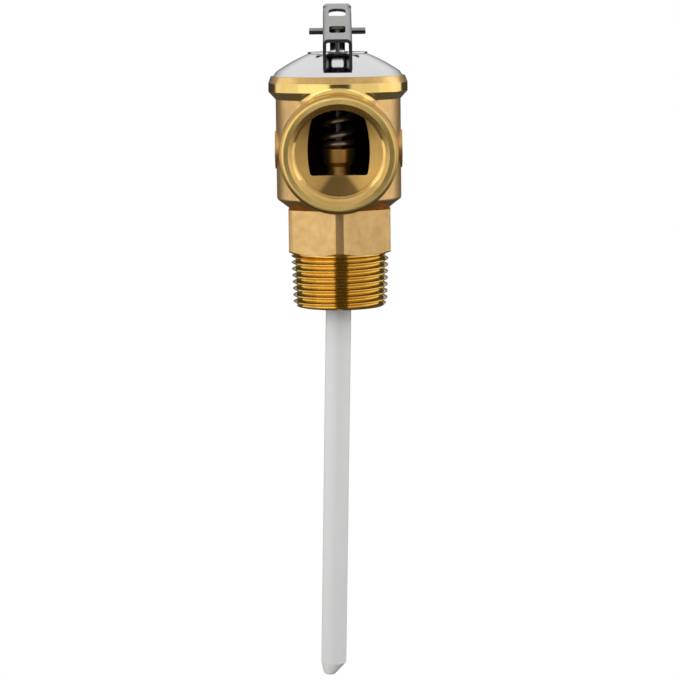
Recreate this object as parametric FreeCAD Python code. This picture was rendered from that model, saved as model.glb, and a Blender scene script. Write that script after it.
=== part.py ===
import FreeCAD, Part
import math
import os

# A temperature and pressure relief valve, in millimetres. Z runs up the valve's axis from the
# centre of the inlet thread's end face, and the outlet faces -Y.

# Inlet thread, a 3/4 inch taper pipe thread of 14 turns per inch
THREAD_PITCH = 25.4 / 14
INLET_THREAD_DEPTH = 1.25
THREAD_HALF_ANGLE_DEG = 30.0
THREAD_CUT_OVERLAP = 0.1
THREAD_RUN_IN_TURNS = 1.3
THREAD_RUN_OUT_TURNS = 0.35
INLET_CREST_SHARE = 0.1
THREAD_TAPER_DEG = 1.79
INLET_THREAD_R = 13.02
INLET_THREAD_LENGTH = 14.0
INLET_THREAD_CHAMFER = 1.0
INLET_NECK_LENGTH = 1.0
INLET_WALL = 3.52

# Hexagon
HEX_ACROSS_FLATS = 28.0
HEX_HEIGHT = 12.2
HEX_CORNER_R = 15.57
HEX_END_CHAMFER = 0.8

# Barrel of the body
BARREL_BESIDE_BOSS = 1.27
BARREL_TAPER_HEIGHT = 2.7
BARREL_FOOT_R = 1.0
RIM_PROUD = 1.95
RIM_BELOW_BOSS_TOP = 2.1
RIM_CHAMFER_HEIGHT = 2.1
RIM_HEIGHT = 3.3
RIM_EDGE_R = 0.3
LIP_HEIGHT = 1.0
LIP_WIDTH = 1.1
LIP_ROLL_HEIGHT = 1.9
LIP_ROLL_WIDTH = 0.7
LIP_ROLL_R = 0.6
LIP_EDGE_R = 0.18
SIDE_PAD_R = 5.2
SIDE_PAD_PROUD = 0.3
BOSS_BLEND_R = 1.5

# Outlet
OUTLET_BOSS_ABOVE_HEX = 0.27
OUTLET_PROUD = 10.8
OUTLET_WALL = 4.1
OUTLET_BOSS_EDGE_R = 1.3
OUTLET_BORE_R = 11.83
OUTLET_BREAKTHROUGH = 2.0
OUTLET_COUNTERSINK_WIDTH = 1.67
OUTLET_COUNTERSINK_DEPTH = 1.5
OUTLET_CONE_HALF_ANGLE_DEG = 72.0
OUTLET_CONE_END_R = 1.5
OUTLET_THREAD_LENGTH = 12.0
OUTLET_THREAD_DEPTH = 0.65
OUTLET_CREST_SHARE = 0.45

# Chamber, seat and waterway, whose edges are rounded as the cutter leaves them
BARREL_WALL = 4.0
CHAMBER_FLOOR_BELOW_OUTLET = 6.6
SEAT_RECESS_GAP = 1.5
SEAT_RECESS_DEPTH = 5.1
SEAT_HEIGHT = 1.45
SEAT_BORE_R = 4.6
SEAT_RIM_WIDTH = 1.0
GUIDE_SHOULDER_BELOW_THROAT = 3.5
GUIDE_SHOULDER_WIDTH = 0.9
THROAT_BELOW_RECESS = 5.2
THROAT_TAPER = 2.0
SEAT_FOOT_R = 0.4
RECESS_CORNER_R = 0.8
RECESS_EDGE_R = 0.4
CHAMBER_CORNER_R = 0.6

# Bonnet
BONNET_SHEET = 1.0
BONNET_FLANGE_WIDTH = 0.4
BONNET_POCKET_GAP = 0.05
BONNET_SKIRT_HEIGHT = 2.0
BONNET_SKIRT_GAP = 0.08
BONNET_SHOULDER_DROP = 4.9
BONNET_SHOULDER_INSET = 1.05
BONNET_MIDDLE_INSET = 5.15
BONNET_MIDDLE_DROP = 2.35
BONNET_CONE_WIDTH = 9.0
BONNET_HEIGHT = 8.35
BONNET_BEND_SHARE = 0.8
BONNET_MIDDLE_SHARE = 0.5
BONNET_CROWN_SHARE = 0.25
BONNET_FLANGE_SINK = 0.33
GASKET_THICKNESS = 0.6
GASKET_WIDTH = 2.2

# Stem, pin and lever
STEM_R = 2.075
STEM_HOLE_GAP = 0.22
STEM_SPIGOT_STEP = 0.575
STEM_SPIGOT_LENGTH = 3.0
STEM_ABOVE_PIN = 1.4
STEM_DOME = 1.0
PIN_R = 0.9
PIN_LENGTH = 15.5
PIN_ABOVE_WASHER = 5.65
PIN_EAR_GAP = 0.07
PIN_END_CHAMFER = 0.15
WASHER_R = 8.2
WASHER_THICKNESS = 0.4
LEVER_WIDTH = 7.9
LEVER_SHEET = 0.85
LEVER_BEND_R = 1.5
LEVER_REST_DEG = 17.0
LEVER_FOOT_INSET = 0.4
LEVER_REAR_REACH = 14.3
LEVER_WEB_ABOVE_PIN = 3.0
LEVER_FOOT_GAP = 0.65
LEVER_FOOT_WIDTH = 0.4
LEVER_WASHER_GAP = 0.4
LEVER_CROWN_GAP = 0.2
LEVER_EAR_REAR = 4.6
LEVER_EAR_RISE = 4.2
LEVER_FLANGE_DEPTH = 3.0
LEVER_FLANGE_END = 12.4
LEVER_FOOT_R = 0.3
LEVER_NOTCH_R = 2.0
LEVER_EAR_R = 2.0
LEVER_FLANGE_START_R = 3.0
LEVER_FLANGE_END_R = 1.8
LEVER_CURL_R = 1.9
LEVER_CURL_DEG = 75.0
LEVER_TIP_CORNER_R = 2.0
LEVER_TIP_EDGE_R = 1.1
STEM_WINDOW_WIDTH = 4.4
STEM_WINDOW_FRONT = -11.0
STEM_WINDOW_REAR = -5.2
FINGER_WINDOW_WIDTH = 4.7
FINGER_WINDOW_FRONT = 3.6
FINGER_WINDOW_REAR = 10.0
FINGER_WINDOW_ROUNDING = 0.45
WINDOW_CORNER_R = 0.9

# Main spring and its upper seat
SPRING_WIRE_R = 0.8
SPRING_STEM_GAP = 1.0
SPRING_OPEN_TURNS = 4.75
SPRING_CLOSED_GAP = 0.05
SPRING_START_DEG = 150.0
BUTTON_RIM = 1.7
BUTTON_THICKNESS = 1.0
BUTTON_GAP = 0.05

# Disc holder, rubber disc and what holds it
COLLAR_R = 4.75
COLLAR_LOWER_R = 4.35
COLLAR_HEIGHT = 5.1
COLLAR_FOOT_HEIGHT = 1.2
COLLAR_EDGE_R = 0.3
NECK_R = 3.2
NECK_HEIGHT = 2.3
HOLDER_FLANGE_WIDTH = 0.7
HOLDER_FLANGE_HEIGHT = 2.4
HOLDER_EDGE_R = 0.3
HOLDER_TOP_R = 0.5
NECK_FOOT_R = 0.5
RUBBER_SEAT_OVERLAP = 0.4
RUBBER_THICKNESS = 1.8
RUBBER_SEAT_GAP = 0.05
RUBBER_RECESS_DEPTH = 1.1
RETAINER_SEAT_GAP = 1.2
RETAINER_THICKNESS = 0.6
SCREW_R = 1.25
SCREW_LENGTH = 5.4
SCREW_HEAD_WIDTH = 1.15
SCREW_HEAD_HEIGHT = 1.1
SCREW_HEAD_EDGE_R = 0.3

# Guide of the temperature element
GUIDE_HEIGHT = 4.0
GUIDE_RIM_WIDTH = 1.1
GUIDE_HUB_WALL = 1.25
GUIDE_HEAD_GAP = 0.35
GUIDE_SPOKE_WIDTH = 2.0
GUIDE_SPOKES = 3
GUIDE_RIM_GAP = 0.05
SNAP_RING_THICKNESS = 1.1
SNAP_RING_BITE = 0.6
SNAP_RING_WIDTH = 1.3
SNAP_RING_OPENING = 5.0
SNAP_GROOVE_GAP = 0.1

# Temperature element, which hangs a little off the valve's axis
ELEMENT_LEAN_DEG = 1.43
ELEMENT_BELOW_INLET = 105.3
SHEATH_WALL = 0.35
TUBE_R = 3.2
TUBE_WALL = 0.4
TUBE_TOP_BELOW_GUIDE = 5.0
SHEATH_BELOW_TUBE_TOP = 1.5
TIP_LENGTH = 3.2
TIP_OFFSET = 1.1
TIP_HALF_WIDTH = 1.7
TIP_HALF_DEPTH = 2.9
TIP_END_FILLET = 0.4
TUBE_TIP_GAP = 1.0
END_PLUG_LENGTH = 3.0
HEAD_STEP = 0.4
HEAD_FLANGE_WIDTH = 1.4
HEAD_FLANGE_THICKNESS = 1.0
HEAD_FLANGE_GAP = 0.15
HEAD_SPIGOT_LENGTH = 6.0
HEAD_EDGE_R = 0.3
ROD_R = 1.2
ROD_BORE_GAP = 0.04
ROD_TO_SCREW_GAP = 0.1
ROD_LENGTH = 27.0
ROD_END_R = 0.5
ROD_SEAL_LENGTH = 1.6
DIAPHRAGM_THICKNESS = 1.2

# Radii that follow from the sizes above
INLET_BORE_R = INLET_THREAD_R - INLET_WALL
GUIDE_SHOULDER_R = INLET_BORE_R - GUIDE_SHOULDER_WIDTH
SNAP_RING_R = INLET_BORE_R + SNAP_RING_BITE
OUTLET_BOSS_R = OUTLET_BORE_R + OUTLET_WALL
BARREL_R = OUTLET_BOSS_R + BARREL_BESIDE_BOSS
RIM_R = BARREL_R + RIM_PROUD
LIP_R = RIM_R - LIP_WIDTH
CHAMBER_R = BARREL_R - BARREL_WALL
OUTLET_COUNTERSINK_R = OUTLET_BORE_R + OUTLET_COUNTERSINK_WIDTH
BONNET_FLANGE_R = LIP_R + BONNET_FLANGE_WIDTH
BONNET_SHOULDER_R = LIP_R - BONNET_SHOULDER_INSET
BONNET_MIDDLE_R = LIP_R - BONNET_MIDDLE_INSET
BONNET_CROWN_R = BONNET_SHOULDER_R - BONNET_CONE_WIDTH
GASKET_INNER_R = BONNET_FLANGE_R - GASKET_WIDTH
RUBBER_R = SEAT_BORE_R + SEAT_RIM_WIDTH + RUBBER_SEAT_OVERLAP
HOLDER_FLANGE_R = RUBBER_R + HOLDER_FLANGE_WIDTH
SEAT_RECESS_R = HOLDER_FLANGE_R + SEAT_RECESS_GAP
RETAINER_R = SEAT_BORE_R - RETAINER_SEAT_GAP
SCREW_HEAD_R = SCREW_R + SCREW_HEAD_WIDTH
STEM_SPIGOT_R = STEM_R - STEM_SPIGOT_STEP
STEM_HOLE_R = STEM_R + STEM_HOLE_GAP
SPRING_MEAN_R = STEM_R + SPRING_STEM_GAP + SPRING_WIRE_R
BUTTON_R = SPRING_MEAN_R + SPRING_WIRE_R + BUTTON_RIM
ELEMENT_R = TUBE_R + SHEATH_WALL
TUBE_INNER_R = TUBE_R - TUBE_WALL
HEAD_R = TUBE_R + HEAD_STEP
HEAD_FLANGE_R = HEAD_R + HEAD_FLANGE_WIDTH
GUIDE_BORE_R = HEAD_R + GUIDE_HEAD_GAP
GUIDE_HUB_R = GUIDE_BORE_R + GUIDE_HUB_WALL
ROD_BORE_R = ROD_R + ROD_BORE_GAP
LEVER_FRONT_REACH = BONNET_SHOULDER_R - LEVER_FOOT_INSET

# Heights and places that follow from the sizes above
HEX_Z = INLET_THREAD_LENGTH + INLET_NECK_LENGTH
BARREL_Z = HEX_Z + HEX_HEIGHT
OUTLET_Z = BARREL_Z + OUTLET_BOSS_ABOVE_HEX + OUTLET_BOSS_R
RIM_Z = OUTLET_Z + OUTLET_BOSS_R - RIM_BELOW_BOSS_TOP
RIM_TOP_Z = RIM_Z + RIM_CHAMFER_HEIGHT + RIM_HEIGHT
OUTLET_REACH = BARREL_R + OUTLET_PROUD
OUTLET_BORE_END = -CHAMBER_R + OUTLET_BREAKTHROUGH
CHAMBER_FLOOR_Z = OUTLET_Z - CHAMBER_FLOOR_BELOW_OUTLET
RECESS_FLOOR_Z = CHAMBER_FLOOR_Z - SEAT_RECESS_DEPTH
SEAT_Z = RECESS_FLOOR_Z + SEAT_HEIGHT
THROAT_Z = RECESS_FLOOR_Z - THROAT_BELOW_RECESS
GUIDE_SHOULDER_Z = THROAT_Z - GUIDE_SHOULDER_BELOW_THROAT
FLANGE_TOP_Z = RIM_TOP_Z - BONNET_FLANGE_SINK
FLANGE_Z = FLANGE_TOP_Z - BONNET_SHEET
POCKET_Z = FLANGE_Z - GASKET_THICKNESS
CROWN_Z = FLANGE_Z + BONNET_HEIGHT
WASHER_TOP_Z = CROWN_Z + WASHER_THICKNESS
LEVER_FOOT_Z = CROWN_Z - BONNET_SHOULDER_DROP + LEVER_FOOT_GAP
PIN_Z = WASHER_TOP_Z + PIN_ABOVE_WASHER
STEM_TOP_Z = PIN_Z + STEM_ABOVE_PIN
RUBBER_Z = SEAT_Z + RUBBER_SEAT_GAP
HOLDER_Z = RUBBER_Z + RUBBER_THICKNESS - RUBBER_RECESS_DEPTH
NECK_Z = HOLDER_Z + HOLDER_FLANGE_HEIGHT
COLLAR_Z = NECK_Z + NECK_HEIGHT
COLLAR_TOP_Z = COLLAR_Z + COLLAR_HEIGHT
SCREW_HEAD_Z = RUBBER_Z - RETAINER_THICKNESS - SCREW_HEAD_HEIGHT
BUTTON_Z = CROWN_Z - BONNET_SHEET - BUTTON_GAP - BUTTON_THICKNESS
GUIDE_Z = GUIDE_SHOULDER_Z - GUIDE_HEIGHT
TUBE_TOP_Z = GUIDE_Z - TUBE_TOP_BELOW_GUIDE
SHEATH_TOP_Z = TUBE_TOP_Z - SHEATH_BELOW_TUBE_TOP
ELEMENT_PIVOT = FreeCAD.Vector(0, 0, GUIDE_Z + GUIDE_HEIGHT / 2)
TIP_Z = -ELEMENT_BELOW_INLET
TIP_START_Z = TIP_Z + TIP_LENGTH
TUBE_END_Z = TIP_START_Z + TUBE_TIP_GAP
HEAD_BOTTOM_Z = TUBE_TOP_Z - HEAD_SPIGOT_LENGTH
HEAD_FLANGE_Z = GUIDE_SHOULDER_Z + HEAD_FLANGE_GAP
ROD_TOP_Z = SCREW_HEAD_Z - ROD_TO_SCREW_GAP
ROD_BOTTOM_Z = ROD_TOP_Z - ROD_LENGTH
LEVER_SLOPE = math.tan(math.radians(LEVER_REST_DEG))
OUTLET_CONE_SLOPE = math.tan(math.radians(OUTLET_CONE_HALF_ANGLE_DEG))

ORIGIN = FreeCAD.Vector(0, 0, 0)
ALONG_X = FreeCAD.Vector(1, 0, 0)
ALONG_Y = FreeCAD.Vector(0, 1, 0)
UP = FreeCAD.Vector(0, 0, 1)
MARGIN = 1.0
TOLERANCE = 0.01
PARALLEL = 0.99


def on_xz(a, b):
    """Place an outline's point in the plane through the valve's axis."""
    return FreeCAD.Vector(a, 0, b)


def on_outlet(a, b):
    """Place a point at radius a from the outlet's axis and b along +Y."""
    return FreeCAD.Vector(a, b, OUTLET_Z)


def closed_wire(corners, place):
    """Wire through corners (a, b) or (a, b, radius), where a radius rounds that corner."""
    points = [place(corner[0], corner[1]) for corner in corners]
    radii = [corner[2] if len(corner) > 2 else 0 for corner in corners]
    count = len(points)
    arrive = []
    leave = []
    arcs = []
    for i in range(count):
        point = points[i]
        back = (points[i - 1] - point).normalize()
        ahead = (points[(i + 1) % count] - point).normalize()
        if radii[i] == 0:
            arrive.append(point)
            leave.append(point)
            arcs.append(None)
            continue
        half_angle = back.getAngle(ahead) / 2
        tangent = radii[i] / math.tan(half_angle)
        centre = point + (back + ahead).normalize() * (radii[i] / math.sin(half_angle))
        middle = centre + (point - centre).normalize() * radii[i]
        arrive.append(point + back * tangent)
        leave.append(point + ahead * tangent)
        arcs.append(middle)
    edges = []
    for i in range(count):
        if arcs[i] is not None:
            edges.append(Part.Arc(arrive[i], arcs[i], leave[i]).toShape())
        edges.append(Part.LineSegment(leave[i], arrive[(i + 1) % count]).toShape())
    return Part.Wire(edges)


def turned(corners):
    """Solid turned about the valve's axis from corners (radius, height)."""
    return Part.Face(closed_wire(corners, on_xz)).revolve(ORIGIN, UP, 360)


def turned_about_outlet(corners):
    """Solid turned about the outlet's axis from corners (radius, y)."""
    return Part.Face(closed_wire(corners, on_outlet)).revolve(on_outlet(0, 0), ALONG_Y, 360)


def rod(radius, bottom, top):
    """Upright cylinder on the valve's axis."""
    return Part.makeCylinder(radius, top - bottom, FreeCAD.Vector(0, 0, bottom))


def tube(outer, inner, bottom, top):
    """Upright hollow cylinder on the valve's axis."""
    return rod(outer, bottom, top).cut(rod(inner, bottom, top))


def leaning(shape):
    """Turn a piece of the temperature element about its guide, tip towards -X."""
    shape.rotate(ELEMENT_PIVOT, ALONG_Y, ELEMENT_LEAN_DEG)
    return shape


def thread_groove(crest_r, length, taper_deg, side, depth, crest_share):
    """Helical groove about Z from z = 0 up, cut inwards (side -1) or outwards (side 1)."""
    flank = math.tan(math.radians(THREAD_HALF_ANGLE_DEG))
    half_crest = THREAD_PITCH * (1 - crest_share) / 2
    half_root = half_crest - depth * flank
    half_mouth = half_crest + THREAD_CUT_OVERLAP * flank
    mouth_r = crest_r - side * THREAD_CUT_OVERLAP
    root_r = crest_r + side * depth
    profile = Part.makePolygon([
        on_xz(mouth_r, -half_mouth),
        on_xz(mouth_r, half_mouth),
        on_xz(root_r, half_root),
        on_xz(root_r, -half_root),
        on_xz(mouth_r, -half_mouth),
    ])
    path = Part.Wire(Part.makeHelix(THREAD_PITCH, length, crest_r, taper_deg))
    return path.makePipeShell([profile], True, True)


def inlet_thread():
    """Taper pipe thread on the outside, with a chamfered start and a plain neck above it."""
    growth = math.tan(math.radians(THREAD_TAPER_DEG))
    top_r = INLET_THREAD_R + INLET_THREAD_LENGTH * growth
    neck_r = top_r - INLET_THREAD_DEPTH
    blank = turned([
        (0, 0),
        (INLET_THREAD_R - INLET_THREAD_CHAMFER, 0),
        (INLET_THREAD_R + INLET_THREAD_CHAMFER * growth, INLET_THREAD_CHAMFER),
        (top_r, INLET_THREAD_LENGTH),
        (neck_r, INLET_THREAD_LENGTH + INLET_NECK_LENGTH / 2),
        (neck_r, HEX_Z + MARGIN),
        (0, HEX_Z + MARGIN),
    ])
    start = -THREAD_RUN_IN_TURNS * THREAD_PITCH
    length = INLET_THREAD_LENGTH + (THREAD_RUN_IN_TURNS + THREAD_RUN_OUT_TURNS) * THREAD_PITCH
    start_r = INLET_THREAD_R + start * growth
    groove = thread_groove(start_r, length, THREAD_TAPER_DEG, -1, INLET_THREAD_DEPTH, INLET_CREST_SHARE)
    groove.translate(FreeCAD.Vector(0, 0, start))
    return blank.cut(groove)


def hexagon():
    """Forged hexagon with turned corners, one of them towards the outlet."""
    corner_r = HEX_ACROSS_FLATS / math.sqrt(3)
    corners = []
    for i in range(6):
        angle = math.radians(60 * i + 30)
        corners.append((corner_r * math.cos(angle), corner_r * math.sin(angle)))
    wire = closed_wire(corners, lambda a, b: FreeCAD.Vector(a, b, HEX_Z))
    prism = Part.Face(wire).extrude(FreeCAD.Vector(0, 0, HEX_HEIGHT))
    inner_r = HEX_ACROSS_FLATS / 2
    envelope = turned([
        (0, HEX_Z),
        (inner_r, HEX_Z),
        (HEX_CORNER_R, HEX_Z + HEX_END_CHAMFER),
        (HEX_CORNER_R, BARREL_Z),
        (0, BARREL_Z),
    ])
    return prism.common(envelope)


def barrel():
    """Round barrel with its tapered foot, chamfered rim and rolled lip."""
    lip_top = RIM_TOP_Z + LIP_HEIGHT
    return turned([
        (0, HEX_Z + HEX_HEIGHT / 2),
        (HEX_ACROSS_FLATS / 2 - MARGIN, HEX_Z + HEX_HEIGHT / 2),
        (HEX_ACROSS_FLATS / 2 - MARGIN, BARREL_Z - MARGIN / 2),
        (BARREL_R, BARREL_Z + BARREL_TAPER_HEIGHT, BARREL_FOOT_R),
        (BARREL_R, RIM_Z),
        (RIM_R, RIM_Z + RIM_CHAMFER_HEIGHT, RIM_EDGE_R),
        (RIM_R, lip_top - LIP_ROLL_HEIGHT, LIP_ROLL_R),
        (RIM_R - LIP_ROLL_WIDTH, lip_top, LIP_EDGE_R),
        (LIP_R, lip_top, LIP_EDGE_R),
        (LIP_R, FLANGE_TOP_Z),
        (0, FLANGE_TOP_Z),
    ])


def outlet_boss():
    """Round outlet boss with a rounded outer edge."""
    return turned_about_outlet([
        (0, 0),
        (OUTLET_BOSS_R, 0),
        (OUTLET_BOSS_R, -OUTLET_REACH, OUTLET_BOSS_EDGE_R),
        (0, -OUTLET_REACH),
    ])


def outlet_hollow():
    """Countersunk bore of the outlet, with the cone that its drill leaves."""
    cone_end = OUTLET_BORE_END + (OUTLET_BORE_R - OUTLET_CONE_END_R) / OUTLET_CONE_SLOPE
    return turned_about_outlet([
        (0, -OUTLET_REACH - MARGIN),
        (OUTLET_COUNTERSINK_R, -OUTLET_REACH - MARGIN),
        (OUTLET_COUNTERSINK_R, -OUTLET_REACH),
        (OUTLET_BORE_R, -OUTLET_REACH + OUTLET_COUNTERSINK_DEPTH),
        (OUTLET_BORE_R, OUTLET_BORE_END),
        (OUTLET_CONE_END_R, cone_end),
        (0, cone_end),
    ])


def outlet_groove():
    """Thread groove in the outlet's bore."""
    length = OUTLET_THREAD_LENGTH + THREAD_PITCH
    groove = thread_groove(OUTLET_BORE_R, length, 0, 1, OUTLET_THREAD_DEPTH, OUTLET_CREST_SHARE)
    groove.translate(FreeCAD.Vector(0, 0, -THREAD_RUN_IN_TURNS * THREAD_PITCH))
    groove.rotate(ORIGIN, ALONG_X, -90)
    groove.translate(FreeCAD.Vector(0, -OUTLET_REACH, OUTLET_Z))
    return groove


def chamber():
    """Space above the seat, open at the top to the pocket that holds the bonnet."""
    pocket_r = BONNET_FLANGE_R + BONNET_POCKET_GAP
    seat_rim_r = SEAT_BORE_R + SEAT_RIM_WIDTH
    return turned([
        (0, SEAT_Z),
        (seat_rim_r, SEAT_Z),
        (seat_rim_r, RECESS_FLOOR_Z, SEAT_FOOT_R),
        (SEAT_RECESS_R, RECESS_FLOOR_Z, RECESS_CORNER_R),
        (SEAT_RECESS_R, CHAMBER_FLOOR_Z, RECESS_EDGE_R),
        (CHAMBER_R, CHAMBER_FLOOR_Z, CHAMBER_CORNER_R),
        (CHAMBER_R, POCKET_Z),
        (pocket_r, POCKET_Z),
        (pocket_r, FLANGE_TOP_Z),
        (0, FLANGE_TOP_Z),
    ])


def inlet_hollow():
    """Inlet bore with the guide's shoulder, the snap ring's groove and the throat to the seat."""
    throat_top = THROAT_Z + THROAT_TAPER
    groove_top = GUIDE_Z
    groove_bottom = GUIDE_Z - SNAP_RING_THICKNESS - SNAP_GROOVE_GAP
    groove_r = SNAP_RING_R + SNAP_GROOVE_GAP
    return turned([
        (0, -MARGIN),
        (INLET_BORE_R, -MARGIN),
        (INLET_BORE_R, groove_bottom),
        (groove_r, groove_bottom),
        (groove_r, groove_top),
        (INLET_BORE_R, groove_top),
        (INLET_BORE_R, GUIDE_SHOULDER_Z),
        (GUIDE_SHOULDER_R, GUIDE_SHOULDER_Z),
        (GUIDE_SHOULDER_R, THROAT_Z),
        (SEAT_BORE_R, throat_top),
        (SEAT_BORE_R, SEAT_Z + MARGIN),
        (0, SEAT_Z + MARGIN),
    ])


def boss_meets_barrel(shape, edge):
    """True for an edge between the side of the outlet boss and another surface of the barrel."""
    box = edge.BoundBox
    if box.YMax > -BARREL_R / 4 or box.YMin < -RIM_R - MARGIN:
        return False
    sides = 0
    for face in shape.ancestorsOfType(edge, Part.Face):
        surface = face.Surface
        if surface.TypeId == "Part::GeomCylinder" and abs(surface.Axis.y) > PARALLEL:
            sides += 1
    return sides == 1


def body():
    """Forged and machined brass body."""
    pad_half = BARREL_R + SIDE_PAD_PROUD
    pads = Part.makeCylinder(SIDE_PAD_R, 2 * pad_half, FreeCAD.Vector(-pad_half, 0, OUTLET_Z), ALONG_X)
    barrel_and_boss = barrel().fuse(outlet_boss())
    blend_edges = [edge for edge in barrel_and_boss.Edges if boss_meets_barrel(barrel_and_boss, edge)]
    forging = barrel_and_boss.makeFillet(BOSS_BLEND_R, blend_edges).fuse([pads, hexagon()])
    solid = forging.fuse(inlet_thread())
    hollow = chamber().fuse([inlet_hollow(), outlet_hollow()])
    return solid.cut(hollow).cut(outlet_groove())


def bonnet_gasket():
    """Flat ring under the bonnet's flange."""
    return tube(BONNET_FLANGE_R, GASKET_INNER_R, POCKET_Z, FLANGE_Z)


def bonnet():
    """Pressed cap: flange, short skirt, domed cone and flat crown with the stem's hole."""
    skirt_r = LIP_R - BONNET_SKIRT_GAP
    sheet = BONNET_SHEET
    hole_r = STEM_HOLE_R
    shoulder_z = CROWN_Z - BONNET_SHOULDER_DROP
    middle_z = CROWN_Z - BONNET_MIDDLE_DROP
    skirt_z = FLANGE_TOP_Z + BONNET_SKIRT_HEIGHT / 2
    fold = sheet * BONNET_BEND_SHARE
    outer = [
        on_xz(hole_r, CROWN_Z),
        on_xz(BONNET_CROWN_R, CROWN_Z),
        on_xz(BONNET_MIDDLE_R, middle_z),
        on_xz(BONNET_SHOULDER_R, shoulder_z),
        on_xz(skirt_r, skirt_z),
        on_xz(skirt_r, FLANGE_TOP_Z),
        on_xz(BONNET_FLANGE_R, FLANGE_TOP_Z),
        on_xz(BONNET_FLANGE_R, FLANGE_Z),
    ]
    inner = [
        on_xz(skirt_r - sheet, FLANGE_Z),
        on_xz(skirt_r - sheet, skirt_z - fold),
        on_xz(BONNET_SHOULDER_R - fold, shoulder_z - fold),
        on_xz(BONNET_MIDDLE_R - sheet * BONNET_MIDDLE_SHARE, middle_z - fold),
        on_xz(BONNET_CROWN_R - sheet * BONNET_CROWN_SHARE, CROWN_Z - sheet),
        on_xz(hole_r, CROWN_Z - sheet),
    ]
    edges = [
        Part.LineSegment(outer[0], outer[1]).toShape(),
        Part.Arc(outer[1], outer[2], outer[3]).toShape(),
        Part.LineSegment(outer[3], outer[4]).toShape(),
        Part.LineSegment(outer[4], outer[5]).toShape(),
        Part.LineSegment(outer[5], outer[6]).toShape(),
        Part.LineSegment(outer[6], outer[7]).toShape(),
        Part.LineSegment(outer[7], inner[0]).toShape(),
        Part.LineSegment(inner[0], inner[1]).toShape(),
        Part.LineSegment(inner[1], inner[2]).toShape(),
        Part.Arc(inner[2], inner[3], inner[4]).toShape(),
        Part.LineSegment(inner[4], inner[5]).toShape(),
        Part.LineSegment(inner[5], outer[0]).toShape(),
    ]
    return Part.Face(Part.Wire(edges)).revolve(ORIGIN, UP, 360)


def lever_washer():
    """Thin round washer on the bonnet's crown."""
    return tube(WASHER_R, STEM_HOLE_R, CROWN_Z, WASHER_TOP_Z)


def stem():
    """Lift rod with a domed top, a cross hole for the pin and a spigot in the disc holder."""
    shape = turned([
        (0, COLLAR_TOP_Z - STEM_SPIGOT_LENGTH),
        (STEM_SPIGOT_R, COLLAR_TOP_Z - STEM_SPIGOT_LENGTH),
        (STEM_SPIGOT_R, COLLAR_TOP_Z),
        (STEM_R, COLLAR_TOP_Z),
        (STEM_R, STEM_TOP_Z - STEM_DOME),
        (STEM_R - STEM_DOME, STEM_TOP_Z),
        (0, STEM_TOP_Z),
    ])
    hole = Part.makeCylinder(PIN_R, 4 * STEM_R, FreeCAD.Vector(-2 * STEM_R, 0, PIN_Z), ALONG_X)
    return shape.cut(hole)


def lever_pin():
    """Cross pin through both ears of the lever and the stem, with broken edges."""
    shape = Part.makeCylinder(PIN_R, PIN_LENGTH, FreeCAD.Vector(-PIN_LENGTH / 2, 0, PIN_Z), ALONG_X)
    return shape.makeChamfer(PIN_END_CHAMFER, [shape.Edges[0], shape.Edges[2]])


def lever_top(y):
    """Height of the web's upper face at y."""
    return PIN_Z + LEVER_WEB_ABOVE_PIN + y * LEVER_SLOPE


def lever_under(y):
    """Height of the web's lower face at y."""
    return lever_top(y) - LEVER_SHEET / math.cos(math.radians(LEVER_REST_DEG))


def lever_tip():
    """Flat end of the web behind the flanges, curled down at the finger tip."""
    slope = math.radians(LEVER_REST_DEG)
    along = FreeCAD.Vector(0, math.cos(slope), math.sin(slope))
    down = FreeCAD.Vector(0, math.sin(slope), -math.cos(slope))
    side = -LEVER_WIDTH / 2
    start = FreeCAD.Vector(side, LEVER_FLANGE_END, lever_top(LEVER_FLANGE_END))
    start_under = FreeCAD.Vector(side, LEVER_FLANGE_END, lever_under(LEVER_FLANGE_END))
    bend = FreeCAD.Vector(side, LEVER_REAR_REACH, lever_top(LEVER_REAR_REACH))
    centre = bend + down * LEVER_CURL_R
    inner_r = LEVER_CURL_R - LEVER_SHEET

    def on_curl(radius, degrees):
        angle = math.radians(degrees)
        return centre + along * (radius * math.sin(angle)) - down * (radius * math.cos(angle))

    outer = [on_curl(LEVER_CURL_R, LEVER_CURL_DEG * share) for share in (0, 0.5, 1)]
    inner = [on_curl(inner_r, LEVER_CURL_DEG * share) for share in (1, 0.5, 0)]
    edges = [
        Part.LineSegment(start, outer[0]).toShape(),
        Part.Arc(outer[0], outer[1], outer[2]).toShape(),
        Part.LineSegment(outer[2], inner[0]).toShape(),
        Part.Arc(inner[0], inner[1], inner[2]).toShape(),
        Part.LineSegment(inner[2], start_under).toShape(),
        Part.LineSegment(start_under, start).toShape(),
    ]
    return Part.Face(Part.Wire(edges)).extrude(FreeCAD.Vector(LEVER_WIDTH, 0, 0))


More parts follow.
